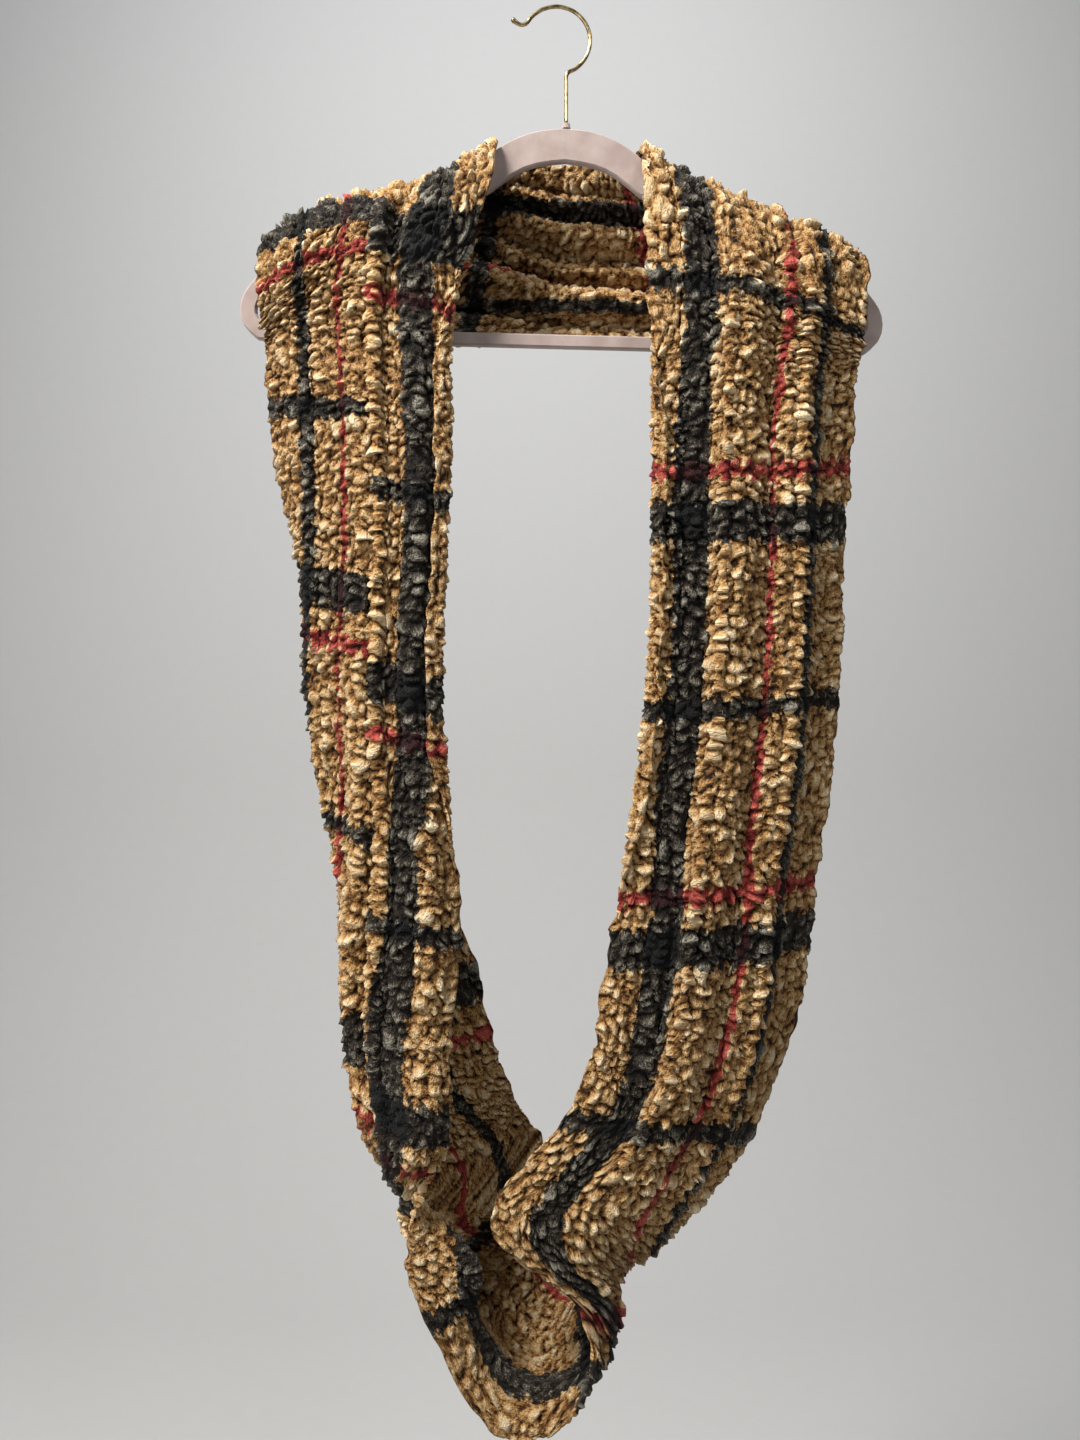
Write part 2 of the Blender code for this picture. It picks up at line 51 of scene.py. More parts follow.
scarf = {
    # Sections round the loop: number, then neck edge, inner band, middle, outer band, outer edge in
    # millimetres.
    "sections": (
        (0, (4, 26, -95), (3, 32, -132), (2, 34, -167), (1, 32, -200), (0, 25, -228)),  # behind the neck
        (1, (-38, 20, -97), (-50, 31, -130), (-62, 32, -164), (-76, 32, -197), (-90, 26, -230)),
        (2, (-46, 10, -99), (-82, 16, -127), (-118, 18, -147), (-156, 20, -171), (-190, 18, -204)),
        (3, (-43, 0, -94), (-82, 0, -119), (-121, 0, -132), (-164, 0, -145), (-202, 0, -166)),  # left crest
        (4, (-45, -17, -122), (-82, -25, -142), (-123, -26, -155), (-164, -24, -170), (-205, -12, -198)),
        (5, (-66, -24, -203), (-96, -33, -208), (-131, -31, -213), (-168, -26, -220), (-202, -10, -232)),
        (6, (-71, -26, -295), (-102, -35, -298), (-135, -31, -302), (-168, -26, -308), (-197, -6, -312)),
        (7, (-74, -28, -388), (-104, -37, -390), (-137, -33, -392), (-170, -22, -394), (-176, 8, -394)),
        (8, (-76, -30, -480), (-106, -39, -480), (-139, -33, -480), (-172, -12, -480), (-154, 16, -480)),
        (9, (-70, -32, -570), (-99, -41, -570), (-131, -34, -569), (-162, -8, -568), (-122, 19, -568)),
        (10, (-67, -36, -655), (-95, -45, -654), (-126, -36, -652), (-150, -4, -650), (-67, 19, -650)),
        (11, (-73, -43, -728), (-98, -50, -728), (-124, -40, -726), (-137, -5, -724), (-46, 19, -728)),
        (12, (-78, -54, -786), (-97, -58, -790), (-115, -41, -792), (-110, -4, -792), (-27, 18, -772)),
        (12.5, (-90, -61, -808), (-97, -38, -812), (-106, -27, -816), (-87, 3, -816), (-16, 18, -790)),
        (13, (-98, -60, -834), (-65, -49, -838), (-98, -27, -840), (-56, 6, -838), (-6, 17, -806)),
        (14, (-83, -64, -890), (-57, -51, -884), (-56, -24, -884), (-29, 5, -868), (14, 15, -830)),
        (15, (-51, -65, -946), (-43, -54, -926), (-35, -24, -914), (-13, 5, -892), (30, 10, -848)),  # lowest
        (16, (-12, -65, -959), (-9, -54, -938), (-4, -25, -926), (11, 0, -900), (42, 3, -860)),
        (17, (18, -62, -922), (25, -47, -920), (28, -22, -905), (33, -6, -884), (58, -2, -862)),
        (17.5, (4, -60, -868), (31, -52, -876), (46, -30, -872), (56, -12, -868), (74, -5, -852)),
        (18, (-37, -59, -836), (4, -62, -842), (40, -42, -846), (68, -20, -850), (88, -7, -838)),
        (19, (-9, -52, -772), (27, -56, -779), (63, -49, -786), (97, -28, -796), (120, -8, -804)),
        (20, (24, -44, -700), (57, -50, -704), (92, -46, -708), (128, -30, -712), (162, -8, -712)),
        (21, (37, -40, -612), (71, -46, -614), (106, -42, -616), (142, -28, -618), (177, -8, -616)),
        (22, (50, -36, -524), (84, -42, -526), (119, -38, -528), (156, -26, -528), (190, -8, -526)),
        (23, (58, -32, -434), (92, -38, -436), (128, -36, -438), (164, -26, -438), (195, -8, -440)),
        (24, (60, -28, -340), (94, -36, -342), (131, -34, -344), (168, -26, -346), (200, -8, -346)),
        (25, (60, -26, -250), (94, -34, -252), (132, -33, -254), (170, -26, -256), (206, -10, -256)),
        (26, (59, -20, -150), (90, -26, -162), (128, -28, -176), (169, -26, -194), (212, -12, -214)),
        (27, (57, 0, -97), (92, 0, -122), (131, 0, -140), (172, 0, -158), (210, 0, -177)),  # right crest
        (28, (54, 10, -101), (90, 16, -131), (127, 18, -154), (165, 20, -178), (198, 18, -207)),
        (29, (44, 20, -98), (56, 31, -131), (68, 32, -165), (82, 32, -199), (94, 26, -231)),
    ),
    "round": 30,  # the number at which the loop is closed again
    "shift": -2.0,  # of all the sections to the right, in millimetres
    "rowSteps": 120,  # points on a row before it is walked at equal shares
    # Folds of the solids: first and last section, place across at the first, halfway and at the last, half
    # width and height in millimetres, lean.
    "folds": (
        (3.2, 12.3, 0.41, 0.33, 0.22, 15, 8, 0.5),
        (3.4, 12.3, 0.55, 0.47, 0.38, 9, -9, -0.2),
        (4.0, 10.0, 0.74, 0.66, 0.5, 14, 4, -0.3),
        (5.0, 12.0, 0.2, 0.14, 0.05, 7, -3, 0.0),
        (7.5, 12.5, 0.62, 0.6, 0.58, 18, 4, 0.0),
        (12.5, 17.5, 0.34, 0.32, 0.3, 16, -4, 0.0),
        (13.0, 18.2, 0.56, 0.54, 0.52, 16, 6, 0.4),
        (17.6, 26.6, 0.24, 0.25, 0.26, 20, 5, 0.3),
        (18.5, 26.6, 0.42, 0.4, 0.43, 9, -9, -0.4),
        (18.5, 26.6, 0.55, 0.54, 0.56, 14, 6, 0.3),
        (18.8, 26.6, 0.7, 0.69, 0.68, 9, -7, -0.3),
        (19.5, 26.6, 0.83, 0.84, 0.84, 18, 4, 0.2),
        (-1.8, 1.8, 0.27, 0.24, 0.06, 10, -8, -0.2),
        (-1.6, 1.6, 0.39, 0.36, 0.14, 7, 6, 0.0),
        (-1.9, 1.9, 0.57, 0.52, 0.22, 14, -16, 0.3),
        (-1.8, 1.8, 0.77, 0.72, 0.46, 10, 9, 0.0),
        (-1.6, 1.6, 0.93, 0.92, 0.84, 11, -4, 0.0),
    ),
    "lineRamp": 0.8,  # sections over which a fold or a crease begins and ends
    "armGathers": ((3.0, 7), (27.0, 7)),  # section, and waves across the cloth
    "gatherRise": 1.8,
    "gatherReach": 1.3,
    # Border turned over at the neck edge, to the face that shows: first and last section, and the share of
    # the width.
    "turnedBorder": ((4.5, 9.4, 0.10), (20.6, 25.5, 0.08)),
    "turnRamp": 1.2,  # sections over which it begins and ends
    "turnGap": 7.0,  # between its two layers, in millimetres
    "turnRound": 0.022,  # roundness of the turn, as a share of the width
    "roundFrom": 0.012,  # turned share at which the roundness is whole
    "gapFrom": 0.03,  # turned share at which the gap is whole
    # Stretch: name, CAD node, first and last section, how it is held.
    "stretches": (
        ("scarfBehindNeck", "scarf_behind_neck", -1.7, 1.7, "draped"),
        ("scarfLeftShoulder", "scarf_left_shoulder", 1.7, 4.4, "draped"),
        ("scarfLeftFront", "scarf_left_front", 4.4, 12.4, "hung"),
        ("scarfSling", "scarf_sling", 12.4, 17.8, "hung"),
        ("scarfRightFront", "scarf_right_front", 17.8, 25.6, "hung"),
        ("scarfRightShoulder", "scarf_right_shoulder", 25.6, 28.3, "draped"),
    ),
    "cutWidth": 0.24,
    "rowLength": 1.55,  # step of the mesh along the loop, in millimetres
    "columns": 114,
    "probeAlong": 1.5,  # steps that find the cloth's directions, in millimetres along it
    "probeAcross": 0.006,  # and as a share of the width across it
    # By section: how much further down the neck edge's threads lie than the outer edge's, in millimetres.
    "slant": (
        (0, 0), (1, 14), (3, 52), (6, 88), (8, 88), (12, 80), (15, 24),
        (18, 0), (20, -12), (27, -12), (30, 0),
    ),
    "slantInCrease": 0.6,  # share of it that is hidden in the first crease
    "slantRamp": 2.6,  # sections over which that share begins and ends
    # Narrow creases and ridges, in rows like those of the folds. On the face that shows, a height above zero
    # is a valley at the fronts and on the arms, and a ridge behind the neck. The last three mostly move
    # a hem sideways.
    "creases": (
        (3.0, 12.4, 0.54, 0.43, 0.30, 5.0, 9.0, -0.5),
        (3.2, 12.3, 0.48, 0.37, 0.24, 9.0, -9.0, -0.6),
        (3.4, 12.3, 0.58, 0.50, 0.40, 10.0, 8.0, 0.0),
        (4.2, 11.5, 0.78, 0.70, 0.56, 4.0, 3.5, -0.2),
        (4.5, 11.0, 0.30, 0.22, 0.12, 3.5, 2.2, 0.2),
        (18.3, 27.0, 0.43, 0.41, 0.44, 4.5, 9.0, -0.6),
        (18.6, 27.0, 0.69, 0.68, 0.67, 4.5, 9.0, 0.5),
        (19.0, 26.8, 0.27, 0.28, 0.27, 3.5, 3.0, 0.0),
        (19.5, 26.8, 0.15, 0.15, 0.14, 3.5, 2.5, 0.0),
        (19.0, 26.8, 0.57, 0.56, 0.57, 3.5, 3.0, 0.0),
        (20.0, 26.6, 0.83, 0.84, 0.84, 3.5, 2.4, 0.0),
        (12.6, 17.8, 0.22, 0.22, 0.25, 3.5, 2.5, 0.0),
        (12.6, 18.0, 0.44, 0.42, 0.42, 3.5, 3.0, 0.0),
        (13.0, 18.0, 0.72, 0.70, 0.68, 3.5, 3.0, 0.0),
        (-1.9, 1.9, 0.18, 0.14, 0.03, 3.0, -5.0, 0.0),
        (-1.9, 1.9, 0.25, 0.21, 0.05, 4.5, 9.0, 0.0),
        (-1.9, 1.9, 0.31, 0.28, 0.10, 3.5, -6.0, 0.0),
        (-1.9, 1.9, 0.40, 0.35, 0.13, 5.0, 4.0, 0.0),
        (-1.9, 1.9, 0.48, 0.43, 0.17, 3.5, -5.0, 0.0),
        (-1.9, 1.9, 0.55, 0.51, 0.22, 7.0, 14.0, 0.0),
        (-1.9, 1.9, 0.65, 0.60, 0.32, 3.0, -6.0, 0.0),
        (-1.9, 1.9, 0.76, 0.71, 0.45, 7.0, 4.0, 0.0),
        (-1.9, 1.9, 0.85, 0.83, 0.65, 5.0, -11.0, 0.0),
        (-1.9, 1.9, 1.0, 1.0, 1.0, 14.0, 1.0, -5.0),
        (2.1, 4.1, 0.0, 0.0, 0.0, 16.0, 1.0, 6.0),
        (25.9, 27.9, 0.0, 0.0, 0.0, 16.0, 1.0, 6.0),
    ),
    "foldPower": 2,  # how a fold falls to both sides
    "creasePower": 1.4,  # and how a crease does
}


def smoothStep(value):
    value = np.clip(value, 0, 1)
    return value * value * (3 - 2 * value)


def span(section, first, last, ramp):  # one between two sections, falling smoothly to nothing at both
    return smoothStep((section - first) / ramp) * smoothStep((last - section) / ramp)


def unit(vectors):
    return vectors / np.maximum(np.linalg.norm(vectors, axis=-1, keepdims=True), 1e-12)


def cubic(knots, values, slopes, where):  # cubic pieces through the values with the given slopes
    piece = np.clip(np.searchsorted(knots, where, side="right") - 1, 0, len(knots) - 2)
    step = (knots[piece + 1] - knots[piece])[:, None]
    part = (where - knots[piece])[:, None] / step
    start = values[piece] * (1 + 2 * part) * (1 - part) ** 2
    end = values[piece + 1] * part**2 * (3 - 2 * part)
    return start + end + step * part * (1 - part) * (slopes[piece] * (1 - part) - slopes[piece + 1] * part)


def loopSlopes(knots, values):  # slopes of the smooth closed curve; the last value repeats the first
    count = len(knots) - 1
    step = np.diff(knots)
    before = np.roll(step, 1)
    rise = np.diff(values, axis=0) / step[:, None]
    whole = np.arange(count)
    rows = np.zeros((count, count))
    rows[whole, whole - 1] = step
    rows[whole, whole] = 2 * (before + step)
    rows[whole, (whole + 1) % count] = before
    right = 3 * (step[:, None] * np.roll(rise, 1, axis=0) + before[:, None] * rise)
    slopes = np.linalg.solve(rows, right)
    return np.vstack([slopes, slopes[:1]])


def openSlopes(values):  # slopes of the smooth open curve through values one unit apart, straight at its ends
    count = len(values)
    rows = np.eye(count) * 4 + np.eye(count, k=1) + np.eye(count, k=-1)
    rows[0, 0] = rows[-1, -1] = 2
    right = np.zeros_like(values)
    right[0] = 3 * (values[1] - values[0])
    right[-1] = 3 * (values[-1] - values[-2])
    right[1:-1] = 3 * (values[2:] - values[:-2])
    return np.linalg.solve(rows, right)


guidePoints = np.array([row[1:] for row in scarf["sections"]], float) * mm
guidePoints[:, :, 0] += scarf["shift"] * mm
loopNumbers = np.array([row[0] for row in scarf["sections"]] + [scarf["round"]], float)
loopGuides = np.concatenate([guidePoints, guidePoints[:1]])
guideSteps = np.linalg.norm(np.diff(loopGuides[:, 2], axis=0), axis=1)
loopKnots = np.concatenate([[0], np.cumsum(guideSteps)])
loopLength = loopKnots[-1]
loopValues = loopGuides.reshape(len(loopGuides), -1)
loopSlope = loopSlopes(loopKnots, loopValues)
# Share of each of the five guides in the points of a row.
acrossBlend = cubic(np.arange(5.0), np.eye(5), openSlopes(np.eye(5)), np.linspace(0, 4, scarf["rowSteps"]))


def lengthAt(section):  # distance along the middle guide at a section number, also outside one round
    whole = np.floor(section / scarf["round"])
    inside = section - whole * scarf["round"]
    return whole * loopLength + np.interp(inside, loopNumbers, loopKnots)


def sectionAt(length):
    whole = np.floor(length / loopLength)
    inside = length - whole * loopLength
    return whole * scarf["round"] + np.interp(inside, loopKnots, loopNumbers)


# Plain cloth: each row is the smooth curve through its five guides, walked at equal shares of its width.
def plainCloth(length, across):
    guides = cubic(loopKnots, loopValues, loopSlope, np.mod(length, loopLength)).reshape(-1, 5, 3)
    curve = np.einsum("sg,rgc->rsc", acrossBlend, guides)
    steps = np.linalg.norm(np.diff(curve, axis=1), axis=2)
    run = np.concatenate([np.zeros((len(curve), 1)), np.cumsum(steps, axis=1)], axis=1)
    width = run[:, -1]
    row = 2.0 * np.arange(len(curve))[:, None]
    known = (row + run / width[:, None]).ravel()
    wanted = (row + across).ravel()
    parts = [np.interp(wanted, known, curve[:, :, axis].ravel()) for axis in range(3)]
    return np.stack(parts, axis=-1).reshape(*across.shape, 3), width


def lineAcross(section, row):  # place across of a fold or a crease at a section
    first, last = row[:2]
    return np.interp(section, (first, (first + last) / 2, last), row[2:5])


# What a table's folds or creases add along the normal and sideways: bells over lines along the cloth.
def bells(rows, power, section, place, width):
    out = np.zeros_like(place)
    side = np.zeros_like(place)
    for row in rows:
        half, height, lean = row[5:]
        for turn in (0, scarf["round"]):
            off = np.abs(place - lineAcross(section - turn, row)) * width[:, None] / (half * mm)
            bell = height * mm * np.exp(-(off**power)) * span(section - turn, *row[:2], scarf["lineRamp"])
            out += bell
            side += lean * np.abs(bell)
    return out, side


# Folded cloth: the plain cloth with its border turned over, bell-shaped folds and cosine gathers.
def foldedCloth(length, across):
    section = sectionAt(length)[:, None] + 0 * across
    turned = np.zeros_like(across)
    for first, last, share in scarf["turnedBorder"]:
        turned += share * span(section, first, last, scarf["turnRamp"])
    away = across - turned
    rounding = scarf["turnRound"] * np.clip(turned / scarf["roundFrom"], 0, 1)
    rounded = np.sqrt(away**2 + rounding**2)
    place = np.clip(rounded / (1 - turned), 0, 1)
    layer = 0.5 * (1 - away / np.maximum(rounded, 1e-6))  # from nothing on the cloth to one on the border
    points, width = plainCloth(length, place)
    out = -scarf["turnGap"] * mm * np.clip(turned / scarf["gapFrom"], 0, 1) * layer
    side = np.zeros_like(out)
    for rows, power in ((scarf["folds"], scarf["foldPower"]), (scarf["creases"], scarf["creasePower"])):
        more, moreSide = bells(rows, power, section, place, width)
        out += more * (away > 0)
        side += moreSide * (away > 0)
    for crest, count in scarf["armGathers"]:
        near = np.exp(-(((section - crest) / scarf["gatherReach"]) ** 2))
        out += scarf["gatherRise"] * mm * near * np.cos(2 * np.pi * count * across + crest)
    step = scarf["probeAlong"] * mm
    onward = unit(plainCloth(length + step, across)[0] - plainCloth(length - step, across)[0])
    nearer = plainCloth(length, np.clip(across - scarf["probeAcross"], 0, 1))[0]
    farther = plainCloth(length, np.clip(across + scarf["probeAcross"], 0, 1))[0]
    sideways = unit(farther - nearer)
    normal = unit(np.cross(onward, sideways))
    return points + normal * out[..., None] + sideways * side[..., None], place


# The puckers: an uneven lattice of small puffs that meet in sharp valleys.

pucker = {
    "puffsAlong": 228,  # puffs round the loop
    "puffWidth": 7.6,
    "latticeColumns": 64,  # after which a lattice repeats across the cloth
    "firstColumn": 3,  # of the lattice, at the neck edge
    "underShift": 5.5,  # columns by which the underside's puffs are shifted
    "rise": 5.0,  # height of a puff, in millimetres
    "underRise": 3.8,
    "armExtra": 0.4,  # by how much more the puffs rise over the arms, where the cloth is gathered
    "arms": (3, 27),
    "armReach": 1.3,
    # Where the two faces lie along the normal before the puffs rise, in millimetres.
    "upperBase": -1.0,
    "underBase": -0.9,
    "underBaseOnArm": 1.4,  # added to it on the arms, where the underside has no puffs
    # Shifts of the lattice: amount, fineness, and the seeds of the shifts along and across.
    "warps": ((0.5, 0.5, (5, 6)), (0.3, 1, (51, 61)), (0.12, 2, (53, 63))),
    # What is drawn for each puff, in this order: lowest and highest. The column's shift comes once a column.
    "draws": {
        "shakeP": (-0.36, 0.36),
        "shakeQ": (-0.26, 0.26),
        "column": (0, 1),
        "turn": (-0.9, 0.9),
        "slim": (0.85, 1.45),
        "size": (-0.12, 0.12),
        "top": (0.55, 1.0),
        "dentPlace": (-0.3, 0.3),
        "dentDepth": (0.15, 0.75),
        "tiltP": (-0.5, 0.8),
        "tiltQ": (-0.8, 0.8),
    },
    "leastTilt": 0.1,
    "dentSlant": 0.3,
    "dentWidth": 0.16,
    "edgeWidth": 0.62,  # of a puff's rounded side
    "crumpleRise": 1.4,  # of the small crumples on the puffs
    "crumpleInValley": 0.25,  # share of it that is left in the valleys
    "crumplePaintedLight": 0.3,  # what the crumples add to the height from which shade and highlight are painted on the cloth
    "coarseCrumple": (31, 0.6, 1.6),  # seed, top, fall to both sides
    "fineCrumple": (37, 0.35, 0.9),
    "sag": 0.55,  # how far a puff hangs down, as a share of its height
    "sway": 0.35,  # and how far to either side
    "scallop": 2.8,  # unevenness of the hems
    "scallopReach": 5,
    "hemColumns": (3.5, 9.5),  # of the lattice that shapes the two hems
    "hemShare": 0.72,  # height of the puffs at the hems
    "hemReach": 9,
    "flatBorder": (18.4, 27.0, 0.82, 0.3),  # first and last section, place across, share of height lost
    "flatRamps": (1.0, 0.05),  # over which that begins: in sections, and across
    "ribRise": 0.9,
    "seeds": {"upper": 11, "under": 23, "rib": 9, "sway": 8, "scallop": 15},
}


def latticeNoise(p, q, seed, along):  # smooth noise from -1 to 1 on a lattice that repeats along p
    columns = pucker["latticeColumns"]
    table = np.random.default_rng(seed).uniform(-1, 1, (along, columns))
    cellP = np.floor(p).astype(int)
    cellQ = np.floor(q).astype(int)
    partP = smoothStep(p - cellP)
    partQ = smoothStep(q - cellQ)
    corner = [[table[(cellP + i) % along, (cellQ + j) % columns] for j in (0, 1)] for i in (0, 1)]
    low = corner[0][0] * (1 - partQ) + corner[0][1] * partQ
    high = corner[1][0] * (1 - partQ) + corner[1][1] * partQ
    return low * (1 - partP) + high * partP


def warp(p, q, direction):  # shift of the lattice along it, for direction 0, or across it, for 1
    layers = [
        amount * latticeNoise(p * fine, q * fine, seeds[direction], round(pucker["puffsAlong"] * fine))
        for amount, fine, seeds in pucker["warps"]
    ]
    return sum(layers)


def crumples(p, q, along, seed, top, fall):  # thin ridges where a noise goes through zero
    return top - fall * np.abs(latticeNoise(p, q, seed, along))


# Puffs: each point belongs to the nearest of the shaken lattice points, measured with that puff's own
# turn and slimness. The height goes from nothing, where two puffs are equally near, up to a round top with
# a dent across it.
def puffField(p, q, seed):
    random = np.random.default_rng(seed)
    along = pucker["puffsAlong"]
    columns = pucker["latticeColumns"]
    draws = {}
    for name, (low, high) in pucker["draws"].items():
        draws[name] = random.uniform(low, high, columns if name == "column" else (along, columns))
    columnShift = draws.pop("column")
    baseQ = np.floor(q).astype(int)
    nearest = np.full(p.shape, 9.0)
    second = np.full(p.shape, 9.0)
    height = np.zeros(p.shape)
    for j in (-1, 0, 1):
        cellQ = baseQ + j
        shifted = p - columnShift[cellQ % columns]
        baseP = np.floor(shifted).astype(int)
        for i in (-2, -1, 0, 1, 2):
            cellP = baseP + i
            puff = {name: table[cellP % along, cellQ % columns] for name, table in draws.items()}
            gapP = shifted - (cellP + 0.5 + puff["shakeP"])
            gapQ = q - (cellQ + 0.5 + puff["shakeQ"])
            cosine, sine = np.cos(puff["turn"]), np.sin(puff["turn"])
            long = (gapP * cosine + gapQ * sine) / np.sqrt(puff["slim"])
            wide = (gapQ * cosine - gapP * sine) * np.sqrt(puff["slim"])
            far = np.sqrt(long**2 + wide**2) - puff["size"]
            closer = far < nearest
            second = np.where(closer, nearest, np.minimum(second, far))
            tilt = 1 + puff["tiltP"] * gapP + puff["tiltQ"] * gapQ
            fromDent = (long - puff["dentPlace"] - pucker["dentSlant"] * wide) / pucker["dentWidth"]
            dent = 1 - puff["dentDepth"] * np.exp(-(fromDent**2))
            tilted = puff["top"] * np.maximum(tilt, pucker["leastTilt"]) * dent
            height = np.where(closer, tilted, height)
            nearest = np.where(closer, far, nearest)
    edge = np.clip((second - nearest) / pucker["edgeWidth"], 0, 1)
    return height * (1 - (1 - edge) ** 2)


def walked(points):  # distance across the cloth from its neck edge, row by row
    steps = np.linalg.norm(np.diff(points, axis=1), axis=2)
    return np.concatenate([np.zeros((len(points), 1)), np.cumsum(steps, axis=1)], axis=1)


# Two faces of the cloth: the folded cloth, sampled at even steps across its folds, and moved along its own
# normal by the puffs of each face.
def puckeredCloth():
    bounds = [(lengthAt(first), lengthAt(last)) for _, _, first, last, _ in scarf["stretches"]]
    rows = [round((end - start) / (scarf["rowLength"] * mm)) for start, end in bounds]
    parts = [np.linspace(start, end, count + 1)[:-1] for (start, end), count in zip(bounds, rows)]
    length = np.concatenate(parts)
    share = np.tile(np.linspace(0, 1, scarf["columns"]), (len(length), 1))
    run = walked(foldedCloth(length, share)[0])
    wide = run[:, -1:]
    row = 2.0 * np.arange(len(length))[:, None]
    across = np.interp((row + share).ravel(), (row + run / wide).ravel(), share.ravel()).reshape(share.shape)
    points, place = foldedCloth(length, across)
    along = unit(np.roll(points, -1, axis=0) - np.roll(points, 1, axis=0))
    sideways = unit(np.gradient(points, axis=1))
    normal = unit(np.cross(along, sideways))

    section = np.mod(sectionAt(length), scarf["round"])
    slant = np.interp(section, *np.array(scarf["slant"], float).T)[:, None] * mm
    crease = scarf["creases"][0]
    beyond = place > lineAcross(section, crease)[:, None]
    hidden = scarf["slantInCrease"] * span(section, *crease[:2], scarf["slantRamp"])[:, None]
    threadAlong = length[:, None] + slant * (hidden * beyond + (1 - hidden) * share - 0.5)
    whole = pucker["puffsAlong"]
    seeds = pucker["seeds"]
    p = threadAlong / loopLength * whole
    q = share * wide / (pucker["puffWidth"] * mm) + pucker["firstColumn"]
    warpP = warp(p, q, 0)
    warpQ = warp(p, q, 1)
    upperPuff = puffField(p + warpP, q + warpQ, seeds["upper"])
    underPuff = puffField(p + warpQ, q + warpP + pucker["underShift"], seeds["under"])
    crumple = crumples(2 * (p + warpQ), 2 * (q + warpP), 2 * whole, *pucker["coarseCrumple"])
    crumple += crumples(3 * (p - warpP), 1.5 * (q + warpQ), 3 * whole, *pucker["fineCrumple"])
    rib = latticeNoise(p / 4, q / 2, seeds["rib"], whole // 4)

    fromEdge = np.minimum(share, 1 - share) * wide / mm
    hem = pucker["hemShare"] + (1 - pucker["hemShare"]) * smoothStep(fromEdge / pucker["hemReach"])
    first, last, border, loss = pucker["flatBorder"]
    rampAlong, rampAcross = pucker["flatRamps"]
    flat = span(section, first, last, rampAlong)[:, None] * smoothStep((share - border) / rampAcross)
    hem = hem * (1 - loss * flat)
    onArm = sum(np.exp(-(((section - arm) / pucker["armReach"]) ** 4)) for arm in pucker["arms"])
    onArm = np.clip(onArm, 0, 1)[:, None]
    left = pucker["crumpleInValley"]
    small = pucker["crumpleRise"] * crumple * (left + (1 - left) * np.clip(upperPuff * 2, 0, 1))
    upperLift = (pucker["rise"] * upperPuff + small) * hem * (1 + pucker["armExtra"] * onArm)
    underLift = (pucker["underRise"] * underPuff + small) * hem * (1 - onArm)
    upperPlace = pucker["upperBase"] - upperLift - pucker["ribRise"] * rib * hem
    underPlace = pucker["underBase"] + pucker["underBaseOnArm"] * onArm + underLift
    upper = points + normal * (upperPlace * mm)[..., None]
    under = points + normal * (underPlace * mm)[..., None]
    upright = 1 - np.abs(normal[..., 2])
    sway = pucker["sway"] * latticeNoise(p / 3, q / 3, seeds["sway"], whole // 3)
    for face, lift in ((under, underLift), (upper, upperLift)):
        face += (sway * lift * mm)[..., None] * sideways
        face[..., 2] -= pucker["sag"] * lift * mm * upright
    nearHem = np.exp(-((fromEdge / pucker["scallopReach"]) ** 2)) * np.where(share < 0.5, -1, 1)
    wave = latticeNoise(p, np.where(share < 0.5, *pucker["hemColumns"]), seeds["scallop"], whole)
    shift = (pucker["scallop"] * mm * wave * nearHem)[..., None] * sideways
    cloth = {
        "under": under + shift,
        "upper": upper + shift,
        "thread": np.stack([threadAlong, share * scarf["cutWidth"]], axis=-1),
        # Heights, with the crumples, from which shade is painted into the valleys and highlight onto the
        # tops.
        "underPuff": underPuff + pucker["crumplePaintedLight"] * crumple,
        "upperPuff": upperPuff + pucker["crumplePaintedLight"] * crumple,
    }
    return cloth, rows


# A closed shell between the two faces: their quads, the two hems and the two ends.
def shellMesh(name, under, upper, thread, heights, normals):
    rows, columns = under.shape[:2]
    count = rows * columns
    low = np.arange(count).reshape(rows, columns)  # numbers of the underside's points
    high = low + count  # and of the upper face's

    def quads(a, b, c, d):
        return np.stack([a.ravel(), b.ravel(), c.ravel(), d.ravel()], axis=1)

    faces = np.concatenate(
        [
            quads(low[:-1, :-1], low[1:, :-1], low[1:, 1:], low[:-1, 1:]),
            quads(high[:-1, :-1], high[:-1, 1:], high[1:, 1:], high[1:, :-1]),
            quads(low[:-1, 0], high[:-1, 0], high[1:, 0], low[1:, 0]),
            quads(low[:-1, -1], low[1:, -1], high[1:, -1], high[:-1, -1]),
            quads(low[0, :-1], low[0, 1:], high[0, 1:], high[0, :-1]),
            quads(low[-1, :-1], high[-1, :-1], high[-1, 1:], low[-1, 1:]),
        ]
    )
    places = np.concatenate([under.reshape(-1, 3), upper.reshape(-1, 3)])
    mesh = meshFrom(name, places, faces)
    mesh.normals_split_custom_set_from_vertices(normals.reshape(-1, 3))
    threads = np.concatenate([thread.reshape(-1, 2), thread.reshape(-1, 2)])
    layer = mesh.uv_layers.new(name="thread")
    layer.data.foreach_set("uv", threads[faces.ravel()].ravel())
    # The puffs' heights, from which the cloth's finish paints shade into the valleys and highlight onto the
    # tops.
    puffLayer = mesh.attributes.new("puff", "FLOAT", "POINT")
    puffLayer.data.foreach_set("value", np.concatenate([heights[0].ravel(), heights[1].ravel()]))
    return mesh


# Normals of the closed loop: each face's normal, weighted by its area, is added to its four corners.
def loopNormals(under, upper):
    ring = np.concatenate([under, upper[:, ::-1]], axis=1)  # once round the cloth's cross-section
    around = np.roll(ring, -1, axis=1)
    onward = np.roll(ring, -1, axis=0)
    across = np.roll(onward, -1, axis=1)
    face = np.cross(across - ring, around - onward)
    total = face + np.roll(face, 1, axis=0)
    total = unit(total + np.roll(total, 1, axis=1))
    columns = under.shape[1]
    return total[:, :columns], total[:, columns:][:, ::-1]


